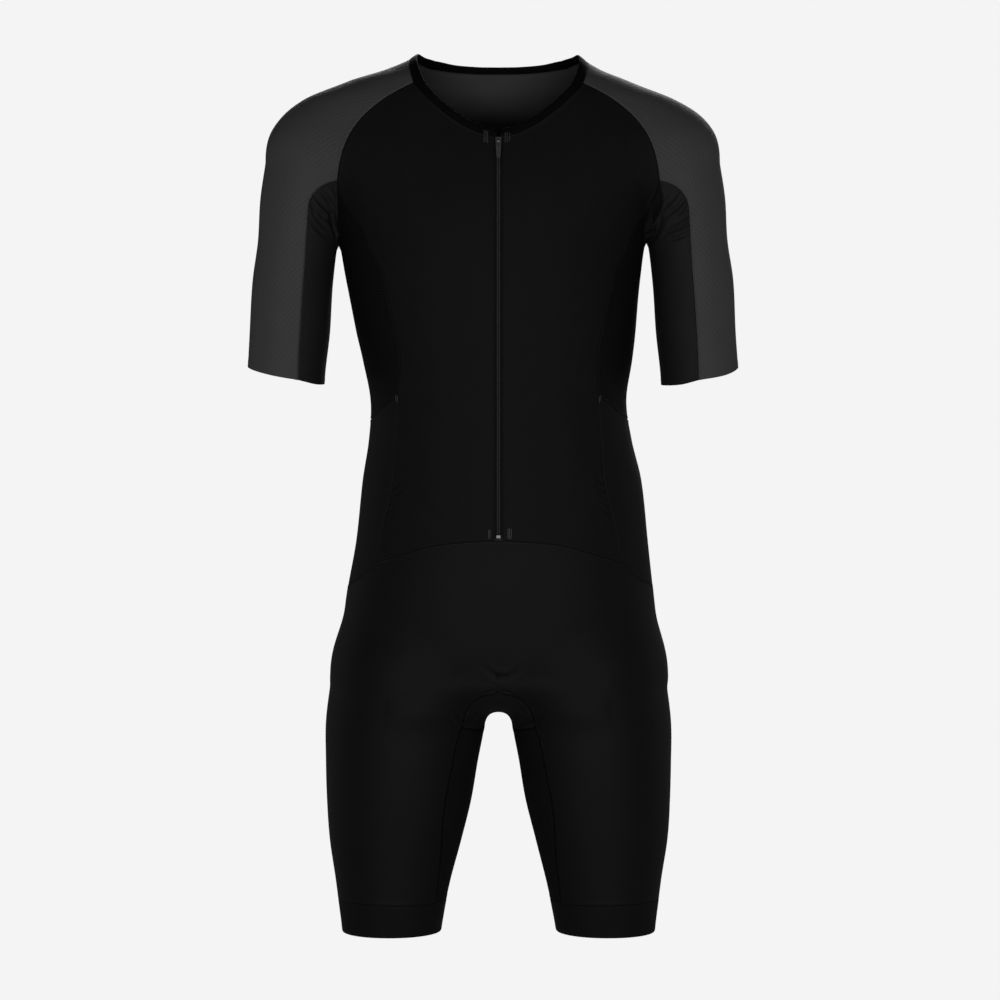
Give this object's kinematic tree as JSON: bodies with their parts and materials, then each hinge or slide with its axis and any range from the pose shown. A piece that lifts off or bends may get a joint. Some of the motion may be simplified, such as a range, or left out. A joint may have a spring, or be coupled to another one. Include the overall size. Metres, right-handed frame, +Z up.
{
  "type": "triathlon suit",
  "caption": "Short-sleeved one-piece triathlon suit with a front zip and leg bands, filled out as worn, hollow and open at the neck, cuffs and legs.",
  "frame": {"origin": "midway between the two neck points, at the height where the wearer's shoulders carry the suit", "axes": "+Z up along the body, front facing -Y, +X to the wearer's left"},
  "size_m": [0.5477, 0.2432, 0.9827],
  "materials": {
    "jersey": "smooth black stretch jersey",
    "sleeve_cloth": "dark grey textured stretch jersey",
    "ribbed_mesh": "black mesh with slanting ribs",
    "shorts_cloth": "smooth black compression jersey",
    "matt_jersey": "matt black jersey",
    "elastic": "wide elastic band",
    "binding": "folded edge binding",
    "zip_tape": "woven tape",
    "zip_coil": "nylon coil",
    "zip_metal": "black lacquered zinc"
  },
  "bodies": {
    "suit": {"front_left": "jersey", "front_right": "jersey", "sleeve_left": "sleeve_cloth", "sleeve_right": "sleeve_cloth", "under_sleeve_left": "jersey", "under_sleeve_right": "jersey", "side_panel_left": "ribbed_mesh", "side_panel_right": "ribbed_mesh", "hip_panel_left": "jersey", "hip_panel_right": "jersey", "back_yoke": "sleeve_cloth", "back": "jersey", "gusset": "matt_jersey", "shorts_front_left": "shorts_cloth", "shorts_front_right": "shorts_cloth", "shorts_back_left": "shorts_cloth", "shorts_back_right": "shorts_cloth", "inner_leg_left": "matt_jersey", "inner_leg_right": "matt_jersey", "leg_band_left": "elastic", "leg_band_right": "elastic", "neck_band": "binding", "zip_tape_left": "zip_tape", "zip_tape_right": "zip_tape", "zip_chain_left": "zip_coil", "zip_chain_right": "zip_coil", "zip_slider": "zip_metal", "zip_bottom_stop": "zip_metal"},
    "pull": {"zip_pull": "zip_metal"}
  },
  "joints": [
    {"name": "pull_hinge", "type": "hinge", "parent": "suit", "child": "pull", "pos_m": [0, -0.0941, -0.09997], "axis": [-1, 0, 0], "range_deg": [0, 150]}
  ]
}
